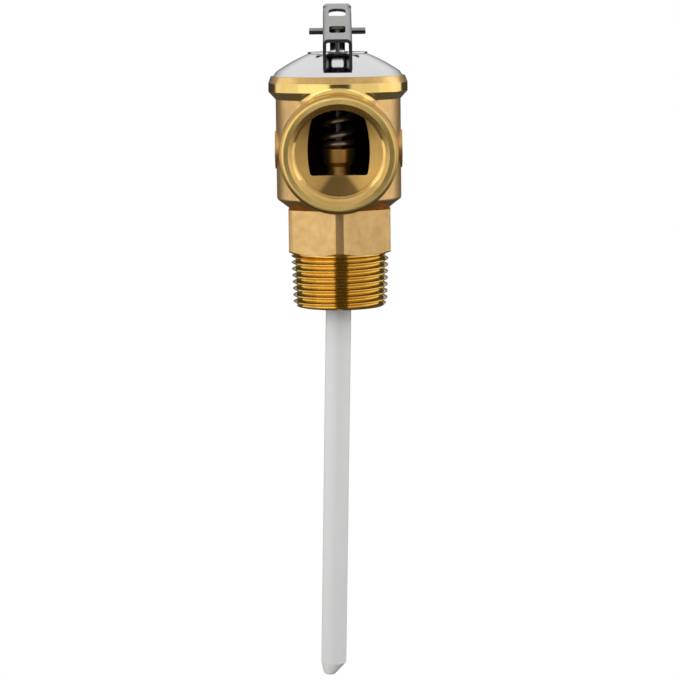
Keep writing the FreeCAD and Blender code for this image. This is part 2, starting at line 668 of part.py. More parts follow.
def lever_channel():
    """Web and both sides: feet above the bonnet's shoulder, ears over the washer, rear flanges."""
    foot_z = LEVER_FOOT_Z
    ear_z = WASHER_TOP_Z + LEVER_WASHER_GAP
    flange_start = LEVER_EAR_REAR + LEVER_EAR_RISE
    front = -LEVER_FRONT_REACH
    corners = [
        (front, lever_top(front)),
        (front, foot_z),
        (front + LEVER_FOOT_WIDTH, foot_z, LEVER_FOOT_R),
        (-BONNET_CROWN_R - LEVER_CROWN_GAP, ear_z, LEVER_NOTCH_R),
        (LEVER_EAR_REAR, ear_z, LEVER_EAR_R),
        (flange_start, lever_top(flange_start) - LEVER_FLANGE_DEPTH, LEVER_FLANGE_START_R),
        (LEVER_FLANGE_END, lever_top(LEVER_FLANGE_END) - LEVER_FLANGE_DEPTH, LEVER_FLANGE_END_R),
        (LEVER_FLANGE_END, lever_top(LEVER_FLANGE_END)),
    ]
    side = LEVER_WIDTH / 2
    wire = closed_wire(corners, lambda a, b: FreeCAD.Vector(-side, a, b))
    block = Part.Face(wire).extrude(FreeCAD.Vector(LEVER_WIDTH, 0, 0))
    outer_bends = [edge for edge in block.Edges if runs_along(edge, lever_top)]
    block = block.makeFillet(LEVER_BEND_R, outer_bends)
    inner_side = side - LEVER_SHEET
    gap_front = front - MARGIN
    gap_rear = LEVER_FLANGE_END + MARGIN
    gap_wire = closed_wire([
        (gap_front, lever_under(gap_front)),
        (gap_rear, lever_under(gap_rear)),
        (gap_rear, foot_z - MARGIN),
        (gap_front, foot_z - MARGIN),
    ], lambda a, b: FreeCAD.Vector(-inner_side, a, b))
    gap = Part.Face(gap_wire).extrude(FreeCAD.Vector(2 * inner_side, 0, 0))
    inner_bends = [edge for edge in gap.Edges if runs_along(edge, lever_under)]
    return block.cut(gap.makeFillet(LEVER_BEND_R - LEVER_SHEET, inner_bends))


def runs_along(edge, height):
    """True for a long edge of the web whose height at y is given by a function."""
    ends = [v.Point for v in edge.Vertexes]
    on_web = all(abs(point.z - height(point.y)) < TOLERANCE for point in ends)
    return on_web and abs(ends[0].x - ends[1].x) < TOLERANCE


def window(width, front, rear, rear_radius):
    """Cutter for a window through the web, from y = front to y = rear."""
    slope = math.cos(math.radians(LEVER_REST_DEG))
    half = width / 2
    corners = [
        (-half, front / slope, WINDOW_CORNER_R),
        (half, front / slope, WINDOW_CORNER_R),
        (half, rear / slope, rear_radius),
        (-half, rear / slope, rear_radius),
    ]
    wire = closed_wire(corners, lambda a, b: FreeCAD.Vector(a, b, -2 * LEVER_SHEET))
    cutter = Part.Face(wire).extrude(FreeCAD.Vector(0, 0, 4 * LEVER_SHEET))
    cutter.rotate(ORIGIN, ALONG_X, LEVER_REST_DEG)
    cutter.translate(FreeCAD.Vector(0, 0, lever_top(0)))
    return cutter


def tip_trim():
    """Block whose corners round the finger tip in plan and from the front."""
    side = LEVER_WIDTH / 2
    tip_y = LEVER_REAR_REACH + LEVER_CURL_R * math.sin(math.radians(LEVER_REST_DEG + LEVER_CURL_DEG / 2))
    low_z = PIN_Z
    corners = [
        (-side, -LEVER_FRONT_REACH),
        (side, -LEVER_FRONT_REACH),
        (side, tip_y, LEVER_TIP_CORNER_R),
        (-side, tip_y, LEVER_TIP_CORNER_R),
    ]
    wire = closed_wire(corners, lambda a, b: FreeCAD.Vector(a, b, low_z - 2 * LEVER_FRONT_REACH))
    in_plan = Part.Face(wire).extrude(FreeCAD.Vector(0, 0, 4 * LEVER_FRONT_REACH))
    crest_z = lever_top(LEVER_REAR_REACH) + LEVER_CURL_R * (1 - math.cos(math.radians(LEVER_REST_DEG)))
    front_corners = [
        (-side, low_z - 2 * LEVER_FRONT_REACH),
        (side, low_z - 2 * LEVER_FRONT_REACH),
        (side, crest_z, LEVER_TIP_EDGE_R),
        (-side, crest_z, LEVER_TIP_EDGE_R),
    ]
    wire = closed_wire(front_corners, lambda a, b: FreeCAD.Vector(a, -2 * LEVER_FRONT_REACH, b))
    return in_plan.common(Part.Face(wire).extrude(FreeCAD.Vector(0, 4 * LEVER_FRONT_REACH, 0)))


def lever():
    """Stamped channel lever with a stem window, a finger window and a curled tip."""
    shape = lever_channel().fuse(lever_tip()).common(tip_trim())
    shape = shape.cut(window(STEM_WINDOW_WIDTH, STEM_WINDOW_FRONT, STEM_WINDOW_REAR, WINDOW_CORNER_R))
    finger_rear_r = FINGER_WINDOW_WIDTH * FINGER_WINDOW_ROUNDING
    shape = shape.cut(window(FINGER_WINDOW_WIDTH, FINGER_WINDOW_FRONT, FINGER_WINDOW_REAR, finger_rear_r))
    hole_r = PIN_R + PIN_EAR_GAP
    hole = Part.makeCylinder(hole_r, 2 * LEVER_WIDTH, FreeCAD.Vector(-LEVER_WIDTH, 0, PIN_Z), ALONG_X)
    return shape.cut(hole).removeSplitter()


def main_spring():
    """Compression spring with a closed turn at each end."""
    low = COLLAR_TOP_Z + SPRING_WIRE_R
    high = BUTTON_Z - SPRING_WIRE_R
    closed_pitch = 2 * SPRING_WIRE_R + SPRING_CLOSED_GAP
    open_height = high - low - 2 * closed_pitch
    bottom_turn = Part.makeHelix(closed_pitch, closed_pitch, SPRING_MEAN_R)
    coils = Part.makeHelix(open_height / SPRING_OPEN_TURNS, open_height, SPRING_MEAN_R)
    coils.translate(FreeCAD.Vector(0, 0, closed_pitch))
    top_turn = Part.makeHelix(closed_pitch, closed_pitch, SPRING_MEAN_R)
    top_turn.rotate(ORIGIN, UP, 360 * SPRING_OPEN_TURNS)
    top_turn.translate(FreeCAD.Vector(0, 0, closed_pitch + open_height))
    path = Part.Wire(bottom_turn.Edges + coils.Edges + top_turn.Edges)
    start = FreeCAD.Vector(SPRING_MEAN_R, 0, 0)
    section = Part.Wire(Part.makeCircle(SPRING_WIRE_R, start, ALONG_Y))
    spring = path.makePipeShell([section], True, True)
    spring.rotate(ORIGIN, UP, SPRING_START_DEG)
    spring.translate(FreeCAD.Vector(0, 0, low))
    return spring


def spring_button():
    """Upper seat of the main spring, under the bonnet's crown."""
    return tube(BUTTON_R, STEM_HOLE_R, BUTTON_Z, BUTTON_Z + BUTTON_THICKNESS)


def disc_holder():
    """Collar, neck and flange under the spring, with a recess for the rubber disc."""
    shape = turned([
        (0, HOLDER_Z),
        (HOLDER_FLANGE_R, HOLDER_Z, HOLDER_EDGE_R),
        (HOLDER_FLANGE_R, NECK_Z, HOLDER_TOP_R),
        (NECK_R, NECK_Z, NECK_FOOT_R),
        (NECK_R, COLLAR_Z),
        (COLLAR_LOWER_R, COLLAR_Z + COLLAR_FOOT_HEIGHT, COLLAR_EDGE_R),
        (COLLAR_R, COLLAR_TOP_Z, COLLAR_EDGE_R),
        (0, COLLAR_TOP_Z),
    ])
    recess = rod(RUBBER_R, HOLDER_Z - MARGIN, HOLDER_Z + RUBBER_RECESS_DEPTH)
    spigot = rod(STEM_SPIGOT_R, COLLAR_TOP_Z - STEM_SPIGOT_LENGTH, COLLAR_TOP_Z + MARGIN)
    screw = rod(SCREW_R, HOLDER_Z, SCREW_HEAD_Z + SCREW_HEAD_HEIGHT + SCREW_LENGTH)
    return shape.cut(recess).cut(spigot).cut(screw)


def seat_disc():
    """Rubber disc that closes the seat."""
    return tube(RUBBER_R, SCREW_R, RUBBER_Z, RUBBER_Z + RUBBER_THICKNESS)


def disc_retainer():
    """Washer that holds the rubber disc up."""
    return tube(RETAINER_R, SCREW_R, RUBBER_Z - RETAINER_THICKNESS, RUBBER_Z)


def disc_screw():
    """Screw up into the disc holder; the push rod bears on its head."""
    head_top = SCREW_HEAD_Z + SCREW_HEAD_HEIGHT
    head = turned([
        (0, SCREW_HEAD_Z),
        (SCREW_HEAD_R, SCREW_HEAD_Z, SCREW_HEAD_EDGE_R),
        (SCREW_HEAD_R, head_top),
        (0, head_top),
    ])
    return head.fuse(rod(SCREW_R, head_top, head_top + SCREW_LENGTH)).removeSplitter()


def element_guide():
    """Spoked ring in the inlet that centres the temperature element."""
    outer_r = INLET_BORE_R - GUIDE_RIM_GAP
    top = GUIDE_SHOULDER_Z
    rim = tube(outer_r, outer_r - GUIDE_RIM_WIDTH, GUIDE_Z, top)
    hub = rod(GUIDE_HUB_R, GUIDE_Z, top)
    spokes = []
    spoke_length = outer_r - GUIDE_RIM_WIDTH / 2
    for i in range(GUIDE_SPOKES):
        spoke = Part.makeBox(spoke_length, GUIDE_SPOKE_WIDTH, GUIDE_HEIGHT)
        spoke.translate(FreeCAD.Vector(0, -GUIDE_SPOKE_WIDTH / 2, GUIDE_Z))
        spoke.rotate(ORIGIN, UP, 90 + 360 / GUIDE_SPOKES * i)
        spokes.append(spoke)
    shape = rim.fuse([hub] + spokes).removeSplitter()
    return shape.cut(rod(GUIDE_BORE_R, GUIDE_Z - MARGIN, top + MARGIN))


def guide_snap_ring():
    """Open spring ring in a groove below the guide."""
    top = GUIDE_Z - SNAP_GROOVE_GAP / 2
    bottom = top - SNAP_RING_THICKNESS
    ring = tube(SNAP_RING_R, SNAP_RING_R - SNAP_RING_WIDTH, bottom, top)
    opening = Part.makeBox(2 * SNAP_RING_R, SNAP_RING_OPENING, 2 * SNAP_RING_THICKNESS)
    opening.translate(FreeCAD.Vector(0, -SNAP_RING_OPENING / 2, bottom - SNAP_RING_THICKNESS / 2))
    return ring.cut(opening)


def thermostat_head():
    """Head of the element: flange on the guide, spigot in the tube, bore for the push rod."""
    top = HEAD_FLANGE_Z + HEAD_FLANGE_THICKNESS
    shape = turned([
        (0, HEAD_BOTTOM_Z),
        (TUBE_INNER_R, HEAD_BOTTOM_Z),
        (TUBE_INNER_R, TUBE_TOP_Z),
        (HEAD_R, TUBE_TOP_Z),
        (HEAD_R, HEAD_FLANGE_Z),
        (HEAD_FLANGE_R, HEAD_FLANGE_Z),
        (HEAD_FLANGE_R, top, HEAD_EDGE_R),
        (0, top),
    ])
    bore = rod(ROD_BORE_R, HEAD_BOTTOM_Z - MARGIN, top + MARGIN)
    return leaning(shape.cut(bore))


def push_rod():
    """Piston of the element, from the diaphragm up to the disc screw's head."""
    shape = turned([
        (0, ROD_BOTTOM_Z),
        (ROD_R, ROD_BOTTOM_Z),
        (ROD_R, ROD_TOP_Z, ROD_END_R),
        (0, ROD_TOP_Z),
    ])
    return leaning(shape)


def rod_seal():
    """Rubber ring round the push rod, just below the head."""
    return leaning(tube(TUBE_INNER_R, ROD_BORE_R, HEAD_BOTTOM_Z - ROD_SEAL_LENGTH, HEAD_BOTTOM_Z))


def diaphragm():
    """Rubber cap between the wax and the push rod."""
    top = ROD_BOTTOM_Z
    return leaning(rod(TUBE_INNER_R, top - DIAPHRAGM_THICKNESS, top))


def wax_charge():
    """Wax that fills the tube below the diaphragm."""
    top = ROD_BOTTOM_Z - DIAPHRAGM_THICKNESS
    return leaning(rod(TUBE_INNER_R, TUBE_END_Z + END_PLUG_LENGTH, top))


def element_tube():
    """Copper tube of the element."""
    return leaning(tube(TUBE_R, TUBE_INNER_R, TUBE_END_Z, TUBE_TOP_Z))


def end_plug():
    """Plug in the tube's lower end."""
    return leaning(rod(TUBE_INNER_R, TUBE_END_Z, TUBE_END_Z + END_PLUG_LENGTH))


def probe_sheath():
    """White plastic coat over the tube, pinched to one side at its end."""
    straight = rod(ELEMENT_R, TIP_START_Z, SHEATH_TOP_Z)
    round_section = Part.Wire(Part.makeCircle(ELEMENT_R, FreeCAD.Vector(0, 0, TIP_START_Z)))
    oval = Part.Ellipse(FreeCAD.Vector(-TIP_OFFSET, TIP_HALF_DEPTH, TIP_Z),
                        FreeCAD.Vector(-TIP_OFFSET - TIP_HALF_WIDTH, 0, TIP_Z),
                        FreeCAD.Vector(-TIP_OFFSET, 0, TIP_Z))
    tip = Part.makeLoft([Part.Wire(oval.toShape()), round_section], True, False)
    coat = straight.fuse(tip).removeSplitter()
    low_edge = [edge for edge in coat.Edges if abs(edge.BoundBox.ZMax - TIP_Z) < TOLERANCE]
    coat = coat.makeFillet(TIP_END_FILLET, low_edge)
    return leaning(coat.cut(rod(TUBE_R, TUBE_END_Z, SHEATH_TOP_Z + MARGIN)))


SUBPARTS = [
    body,
    bonnet,
    bonnet_gasket,
    lever_washer,
    lever,
    lever_pin,
    stem,
    main_spring,
    spring_button,
    disc_holder,
    seat_disc,
    disc_retainer,
    disc_screw,
    element_guide,
    guide_snap_ring,
    thermostat_head,
    push_rod,
    rod_seal,
    diaphragm,
    wax_charge,
    element_tube,
    end_plug,
    probe_sheath,
]

os.makedirs("parts", exist_ok=True)
for make in SUBPARTS:
    make().exportStep("parts/" + make.__name__ + ".step")
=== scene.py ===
import math

import bpy
from mathutils import Matrix, Vector


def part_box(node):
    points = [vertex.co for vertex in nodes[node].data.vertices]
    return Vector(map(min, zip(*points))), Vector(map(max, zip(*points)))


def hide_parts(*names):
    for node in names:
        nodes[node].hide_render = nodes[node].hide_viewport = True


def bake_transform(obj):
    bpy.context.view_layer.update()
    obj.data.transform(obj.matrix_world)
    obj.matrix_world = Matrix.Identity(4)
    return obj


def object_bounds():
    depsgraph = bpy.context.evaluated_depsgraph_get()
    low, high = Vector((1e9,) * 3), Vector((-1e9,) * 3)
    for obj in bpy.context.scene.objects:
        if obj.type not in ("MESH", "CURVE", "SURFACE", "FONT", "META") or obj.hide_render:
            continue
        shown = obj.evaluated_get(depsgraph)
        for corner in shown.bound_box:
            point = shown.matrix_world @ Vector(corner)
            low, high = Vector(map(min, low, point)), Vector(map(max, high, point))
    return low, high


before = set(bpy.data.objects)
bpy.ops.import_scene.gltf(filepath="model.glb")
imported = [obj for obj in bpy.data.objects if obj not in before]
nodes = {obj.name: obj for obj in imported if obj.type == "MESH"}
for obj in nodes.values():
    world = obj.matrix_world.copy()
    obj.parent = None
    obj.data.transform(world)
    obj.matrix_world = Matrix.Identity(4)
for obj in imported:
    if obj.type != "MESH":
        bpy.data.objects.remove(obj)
cad_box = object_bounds()

MM = 0.001

# The camera stands in front of the outlet and a little above it, turned slightly about its line of sight.
CAMERA_DISTANCE = 0.6695
CAMERA_ELEVATION_DEG = 8.0
CAMERA_ROLL_DEG = 0.67
CAMERA_TARGET = Vector((-0.25, 0.0, -9.85)) * MM
CAMERA_LENS_MM = 127.0
SENSOR_MM = 36.0

# The studio: tall softboxes on both sides with a dark gap behind the camera.
SOFTBOX_DISTANCE = 0.5
SOFTBOX_LOW = -0.12
SOFTBOX_HIGH = 0.30
# Each softbox: its name, the two azimuths it stands between, where 0 is towards the camera, and its radiance.
SOFTBOXES = [
    ("left_front_softbox", (-68.0, -14.0), 1.25),
    ("left_side_softbox", (-124.0, -68.0), 0.95),
    ("right_front_softbox", (20.0, 70.0), 0.85),
    ("right_side_softbox", (70.0, 126.0), 1.1),
]
# The room that reflections see: its brightness low down and overhead, and the heights it changes between.
ROOM_LOW = 0.04
ROOM_HIGH = 0.82
ROOM_CHANGE_LOW = -0.05
ROOM_CHANGE_HIGH = 0.55
FLOOR_BELOW_TIP = 0.03
FLOOR_SIZE = 6.0

# Places that the finishes depend on. They repeat the sizes of the CAD parts.
OUTLET_FACE_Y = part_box("body")[0].y
FACE_DEPTH = 0.9 * MM
OUTLET_Z = 43.4 * MM
RIM_Z = 57.3 * MM
LIP_Z = 61.7 * MM
HEX_TOP_Z = 27.2 * MM
THREAD_TOP_Z = 15.0 * MM
SEAT_Z = 30.0 * MM
BORE_EDGE_R = 13.45 * MM
BORE_END_Y = -9.5 * MM
OUTLET_BORE_R = 11.83 * MM
CONE_START_Y = -11.3 * MM
BOSS_EDGE_R = 15.15 * MM
CHAMBER_EDGE_R = 13.3 * MM
CROWN_Z = 67.0 * MM
PIN_Z = 75.75 * MM
LEVER_FRONT_Y = -16.25 * MM
CHAMBER_FRONT_Y = -9.45 * MM

# The painted reflection of a dark wedge at the foot of the outlet's cone: its point, its half width there and
# how fast it widens.
WEDGE_POINT_Z = OUTLET_Z - 6.6 * MM
WEDGE_HALF_WIDTH = 2.2 * MM
WEDGE_WIDENING = 0.75
CONE_FOOT_Z = OUTLET_Z - 6.0 * MM


def new_material(name):
    """New node material; returns it with its node tree and its shader."""
    material = bpy.data.materials.new(name)
    material.use_nodes = True
    tree = material.node_tree
    shader = tree.nodes["Principled BSDF"]
    return material, tree, shader


class Maths:
    """Short names for the maths and texture nodes of one material."""

    def __init__(self, tree):
        self.tree = tree
        self.place = self.add("ShaderNodeTexCoord").outputs["Object"]
        parts = self.add("ShaderNodeSeparateXYZ")
        self.link(self.place, parts.inputs[0])
        self.x, self.y, self.z = parts.outputs

    def add(self, kind):
        return self.tree.nodes.new(kind)

    def link(self, source, target):
        self.tree.links.new(source, target)

    def feed(self, value, socket):
        if isinstance(value, (int, float, tuple)):
            socket.default_value = value
        else:
            self.link(value, socket)

    def op(self, operation, a, b=0.0, clamp=False):
        node = self.add("ShaderNodeMath")
        node.operation = operation
        node.use_clamp = clamp
        self.feed(a, node.inputs[0])
        self.feed(b, node.inputs[1])
        return node.outputs[0]

    def above(self, value, edge, soft):
        """0 below edge, 1 above it, with a ramp soft wide."""
        node = self.add("ShaderNodeMapRange")
        node.interpolation_type = "SMOOTHSTEP"
        self.feed(value, node.inputs["Value"])
        node.inputs["From Min"].default_value = edge - soft / 2
        node.inputs["From Max"].default_value = edge + soft / 2
        return node.outputs["Result"]

    def below(self, value, edge, soft):
        return self.op("SUBTRACT", 1.0, self.above(value, edge, soft))

    def all_of(self, *masks):
        result = masks[0]
        for mask in masks[1:]:
            result = self.op("MULTIPLY", result, mask)
        return result

    def any_of(self, *masks):
        result = masks[0]
        for mask in masks[1:]:
            result = self.op("MAXIMUM", result, mask)
        return result

    def radius(self, a, b):
        """Distance from an axis, from the two coordinates across it."""
        return self.op("SQRT", self.op("ADD", self.op("MULTIPLY", a, a), self.op("MULTIPLY", b, b)))

    def point(self, x, y, z):
        node = self.add("ShaderNodeCombineXYZ")
        for value, socket in zip((x, y, z), node.inputs):
            self.feed(value, socket)
        return node.outputs[0]

    def noise(self, scale, detail=3.0, rough=0.55, at=None):
        """Noise texture about the size 1 / scale metres."""
        node = self.add("ShaderNodeTexNoise")
        self.link(at if at is not None else self.place, node.inputs["Vector"])
        node.inputs["Scale"].default_value = scale
        node.inputs["Detail"].default_value = detail
        node.inputs["Roughness"].default_value = rough
        return node.outputs["Fac"]

    def spread(self, value, low, high):
        """Take 0..1 to low..high."""
        node = self.add("ShaderNodeMapRange")
        self.feed(value, node.inputs["Value"])
        self.feed(low, node.inputs["To Min"])
        self.feed(high, node.inputs["To Max"])
        return node.outputs["Result"]

    def mix(self, fac, a, b):
        """Blend two colours."""
        node = self.add("ShaderNodeMix")
        node.data_type = "RGBA"
        self.feed(fac, node.inputs["Factor"])
        for value, socket in ((a, node.inputs["A"]), (b, node.inputs["B"])):
            self.feed(value, socket)
        return node.outputs["Result"]

    def bump(self, height, distance, strength=1.0, under=None):
        node = self.add("ShaderNodeBump")
        node.inputs["Distance"].default_value = distance
        self.feed(strength, node.inputs["Strength"])
        self.link(height, node.inputs["Height"])
        if under is not None:
            self.link(under, node.inputs["Normal"])
        return node.outputs["Normal"]


def colour(r, g, b):
    return (r, g, b, 1.0)


def finish_metal(m, shader, base, roughness, normal):
    m.feed(base, shader.inputs["Base Color"])
    m.feed(roughness, shader.inputs["Roughness"])
    m.link(normal, shader.inputs["Normal"])
    shader.inputs["Metallic"].default_value = 1.0


def brass_body():
    """Forged satin brass, turned bright on the rim, outlet face and thread; painted shade in the chamber, on
    the boss's rounded edge and deep in the outlet's cone, and a painted reflection of a dark wedge at the
    cone's foot.
    """
    material, tree, shader = new_material("body_brass")
    m = Maths(tree)
    z = m.z
    soft = 0.15 * MM
    axis_r = m.radius(m.x, m.y)
    outlet_r = m.radius(m.x, m.op("SUBTRACT", z, OUTLET_Z))
    rim = m.above(z, RIM_Z, soft)
    lip = m.above(z, LIP_Z, 0.5 * MM)
    face = m.all_of(m.below(m.y, OUTLET_FACE_Y + FACE_DEPTH, soft), m.above(z, HEX_TOP_Z, soft))
    bore = m.all_of(m.below(outlet_r, BORE_EDGE_R, soft), m.below(m.y, BORE_END_Y, soft))
    boss_edge_shade = m.all_of(face, m.above(outlet_r, BOSS_EDGE_R, 0.5 * MM))
    thread = m.below(z, THREAD_TOP_Z, soft)
    chamber = m.all_of(m.below(axis_r, CHAMBER_EDGE_R, soft), m.above(z, SEAT_Z, soft))
    chamber_shade = m.all_of(chamber, m.above(m.y, CHAMBER_FRONT_Y, soft))
    machined = m.any_of(rim, face, bore, thread)
    mottle = m.noise(420.0, 4.0)
    blotch = m.noise(90.0, 2.0)
    stain = m.noise(230.0, 5.0, 0.65)
    forged = m.mix(m.spread(blotch, -0.2, 1.2), colour(0.66, 0.42, 0.165), colour(0.76, 0.50, 0.21))
    forged = m.mix(m.spread(mottle, -0.5, 1.1), forged, colour(0.52, 0.315, 0.115))
    turned_colour = m.mix(m.spread(stain, -0.3, 1.0), colour(0.90, 0.66, 0.235), colour(0.74, 0.48, 0.13))
    thread_colour = m.mix(stain, colour(0.84, 0.60, 0.17), colour(0.70, 0.46, 0.10))
    bore_colour = m.mix(m.spread(stain, -0.3, 1.0), colour(0.78, 0.52, 0.18), colour(0.55, 0.33, 0.09))
    base = m.mix(machined, forged, turned_colour)
    base = m.mix(thread, base, thread_colour)
    base = m.mix(bore, base, bore_colour)
    cone = m.all_of(bore, m.above(m.y, CONE_START_Y, soft), m.below(outlet_r, OUTLET_BORE_R, soft))
    low_part = m.below(z, CONE_FOOT_Z, 3.0 * MM)
    # Painted shade: the cone deep in the outlet bore is darkened.
    base = m.mix(m.all_of(cone, 0.75), base, colour(0.40, 0.235, 0.065))
    # Painted reflection: a near-black wedge, widening downwards, at the foot of the cone.
    widening = m.op("MULTIPLY", m.op("SUBTRACT", WEDGE_POINT_Z, z), WEDGE_WIDENING)
    half_width = m.op("ADD", widening, WEDGE_HALF_WIDTH)
    beside = m.op("SUBTRACT", m.op("ABSOLUTE", m.x), half_width)
    wedge = m.all_of(cone, low_part, m.below(beside, 0.0, 2.0 * MM))
    base = m.mix(m.all_of(wedge, 0.7), base, colour(0.05, 0.03, 0.01))
    # Painted shade: a dark ring on the boss's rounded outer edge.
    base = m.mix(m.all_of(boss_edge_shade, 0.8), base, colour(0.42, 0.225, 0.055))
    base = m.mix(m.all_of(lip, m.spread(stain, 0.3, 0.9)), base, colour(0.44, 0.25, 0.10))
    # Painted shade: the chamber behind the outlet is darkened almost to black.
    base = m.mix(m.all_of(chamber_shade, 0.93), base, colour(0.03, 0.02, 0.01))
    turned_place = m.point(0.0, m.op("MULTIPLY", axis_r, 900.0), m.op("MULTIPLY", z, 5200.0))
    turned = m.noise(1.0, 2.0, 0.6, at=turned_place)
    ring_place = m.point(m.op("MULTIPLY", outlet_r, 4200.0), m.op("MULTIPLY", m.y, 4200.0), 0.0)
    rings = m.noise(1.0, 2.0, 0.6, at=ring_place)
    lines = m.mix(m.any_of(face, bore), turned, rings)
    grain = m.noise(3600.0, 3.0, 0.6)
    height = m.mix(machined, grain, lines)
    roughness = m.spread(machined, 0.36, 0.14)
    roughness = m.op("ADD", roughness, m.spread(mottle, -0.05, 0.07))
    roughness = m.op("ADD", roughness, m.all_of(lip, 0.1))
    roughness = m.op("ADD", roughness, m.all_of(m.any_of(face, cone), 0.2))
    m.feed(m.all_of(face, 0.85), shader.inputs["Anisotropic"])
    m.link(m.point(m.op("SUBTRACT", OUTLET_Z, z), 0.0, m.x), shader.inputs["Tangent"])
    coarse = m.bump(mottle, 0.05 * MM, m.spread(machined, 0.5, 0.1))
    normal = m.bump(height, 0.02 * MM, m.spread(machined, 1.0, 0.45), under=coarse)
    finish_metal(m, shader, base, roughness, normal)
    return material


def turned_metal(name, low, high, roughness, lines_per_m):
    """Metal between two colours, with fine lines across the valve's axis left by turning or drawing."""
    material, tree, shader = new_material(name)
    m = Maths(tree)
    lines = m.noise(1.0, 2.0, 0.6, at=m.point(m.op("MULTIPLY", m.z, lines_per_m), 0.0, 0.0))
    stain = m.noise(260.0, 3.0)
    base = m.mix(m.spread(stain, -0.1, 1.1), low, high)
    rough = m.spread(stain, roughness * 0.8, roughness * 1.25)
    normal = m.bump(lines, 0.006 * MM, 0.5)
    finish_metal(m, shader, base, rough, normal)
    return material


def stem_steel():
    """Bright rod above the cap; below the crown it is rougher and carries painted shade for the dark chamber.
    """
    material, tree, shader = new_material("stem_steel")
    m = Maths(tree)
    chamber_shade = m.below(m.z, CROWN_Z, 1.5 * MM)
    stain = m.noise(260.0, 3.0)
    lines = m.noise(1.0, 2.0, 0.6, at=m.point(m.op("MULTIPLY", m.z, 4000.0), 0.0, 0.0))
    base = m.mix(m.spread(stain, -0.1, 1.1), colour(0.58, 0.58, 0.58), colour(0.72, 0.72, 0.73))
    # Painted shade: below the crown the stem is darkened almost to black.
    base = m.mix(m.all_of(chamber_shade, 0.9), base, colour(0.05, 0.045, 0.04))
    rough = m.op("ADD", m.spread(stain, 0.12, 0.2), m.all_of(chamber_shade, 0.15))
    finish_metal(m, shader, base, rough, m.bump(lines, 0.006 * MM, 0.5))
    return material


def pin_steel():
    """Bright cross pin, with painted shade on its lower half."""
    material, tree, shader = new_material("pin_steel")
    m = Maths(tree)
    under = m.below(m.z, PIN_Z, 0.5 * MM)
    stain = m.noise(300.0, 3.0)
    lines = m.noise(1.0, 2.0, 0.6, at=m.point(m.op("MULTIPLY", m.x, 4000.0), 0.0, 0.0))
    base = m.mix(m.spread(stain, -0.1, 1.1), colour(0.27, 0.27, 0.27), colour(0.36, 0.36, 0.36))
    # Painted shade: the pin's lower half is darkened almost to black.
    base = m.mix(m.all_of(under, 0.93), base, colour(0.02, 0.02, 0.02))
    finish_metal(m, shader, base, m.spread(stain, 0.18, 0.3), m.bump(lines, 0.006 * MM, 0.5))
    return material


def plated_cap():
    """Bright plated pressed steel with very faint waviness and dust-fine scratches."""
    material, tree, shader = new_material("plated_cap")
    m = Maths(tree)
    stain = m.noise(150.0, 3.0)
    base = m.mix(m.spread(stain, 0.0, 1.0), colour(0.80, 0.80, 0.81), colour(0.88, 0.88, 0.885))
    fine = m.noise(2600.0, 2.0)
    wave = m.noise(130.0, 1.0)
    rough = m.spread(m.noise(900.0, 4.0), 0.05, 0.13)
    normal = m.bump(fine, 0.002 * MM, 0.35, under=m.bump(wave, 0.03 * MM, 0.25))
    finish_metal(m, shader, base, rough, normal)
    return material


def stamped_steel():
    """Rolled sheet with lines along the lever; painted shade on its front end, its downward faces and the
    faces turned towards its middle.
    """
    material, tree, shader = new_material("lever_steel")
    m = Maths(tree)
    rolled_place = m.point(m.op("MULTIPLY", m.x, 5000.0), m.op("MULTIPLY", m.y, 160.0), 0.0)
    rolled = m.noise(1.0, 3.0, 0.6, at=rolled_place)
    stain = m.noise(300.0, 4.0)
    base = m.mix(m.spread(stain, -0.1, 1.1), colour(0.38, 0.385, 0.38), colour(0.48, 0.485, 0.475))
    # Painted shade on the lever's front end.
    front_end_shade = m.below(m.y, LEVER_FRONT_Y, 0.2 * MM)
    base = m.mix(m.all_of(front_end_shade, 0.85), base, colour(0.045, 0.045, 0.048))
    # Painted shade on the faces that point downwards or towards the lever's middle.
    facing = m.add("ShaderNodeSeparateXYZ")
    m.link(m.add("ShaderNodeNewGeometry").outputs["Normal"], facing.inputs[0])
    under = m.below(facing.outputs[2], -0.4, 0.3)
    inner = m.below(m.op("MULTIPLY", m.x, facing.outputs[0]), -1.5 * MM, 1.0 * MM)
    base = m.mix(m.all_of(m.any_of(under, inner), 0.85), base, colour(0.04, 0.038, 0.036))
    rough = m.spread(m.noise(700.0, 3.0), 0.22, 0.36)
    normal = m.bump(rolled, 0.008 * MM, 0.5, under=m.bump(stain, 0.03 * MM, 0.3))
    finish_metal(m, shader, base, rough, normal)
    return material


def white_plastic():
    """White plastic coat: faint flow waves, soft mottling and a few fine scuffs."""
    material, tree, shader = new_material("white_plastic")
    m = Maths(tree)
    cloud = m.noise(120.0, 3.0)
    across_x = m.op("MULTIPLY", m.x, 900.0)
    across_y = m.op("MULTIPLY", m.y, 900.0)
    scuff = m.noise(1.0, 3.0, 0.7, at=m.point(across_x, across_y, m.op("MULTIPLY", m.z, 70.0)))
    base = m.mix(m.spread(cloud, 0.0, 1.0), colour(0.90, 0.90, 0.893), colour(0.95, 0.95, 0.943))
    m.feed(base, shader.inputs["Base Color"])
    m.feed(m.spread(scuff, 0.26, 0.42), shader.inputs["Roughness"])
    normal = m.bump(scuff, 0.02 * MM, 0.35, under=m.bump(cloud, 0.15 * MM, 0.3))
    m.link(normal, shader.inputs["Normal"])
    shader.inputs["IOR"].default_value = 1.5
    shader.inputs["Subsurface Weight"].default_value = 0.15
    shader.inputs["Subsurface Radius"].default_value = (0.001, 0.001, 0.001)
    shader.inputs["Subsurface Scale"].default_value = 1.0
    return material


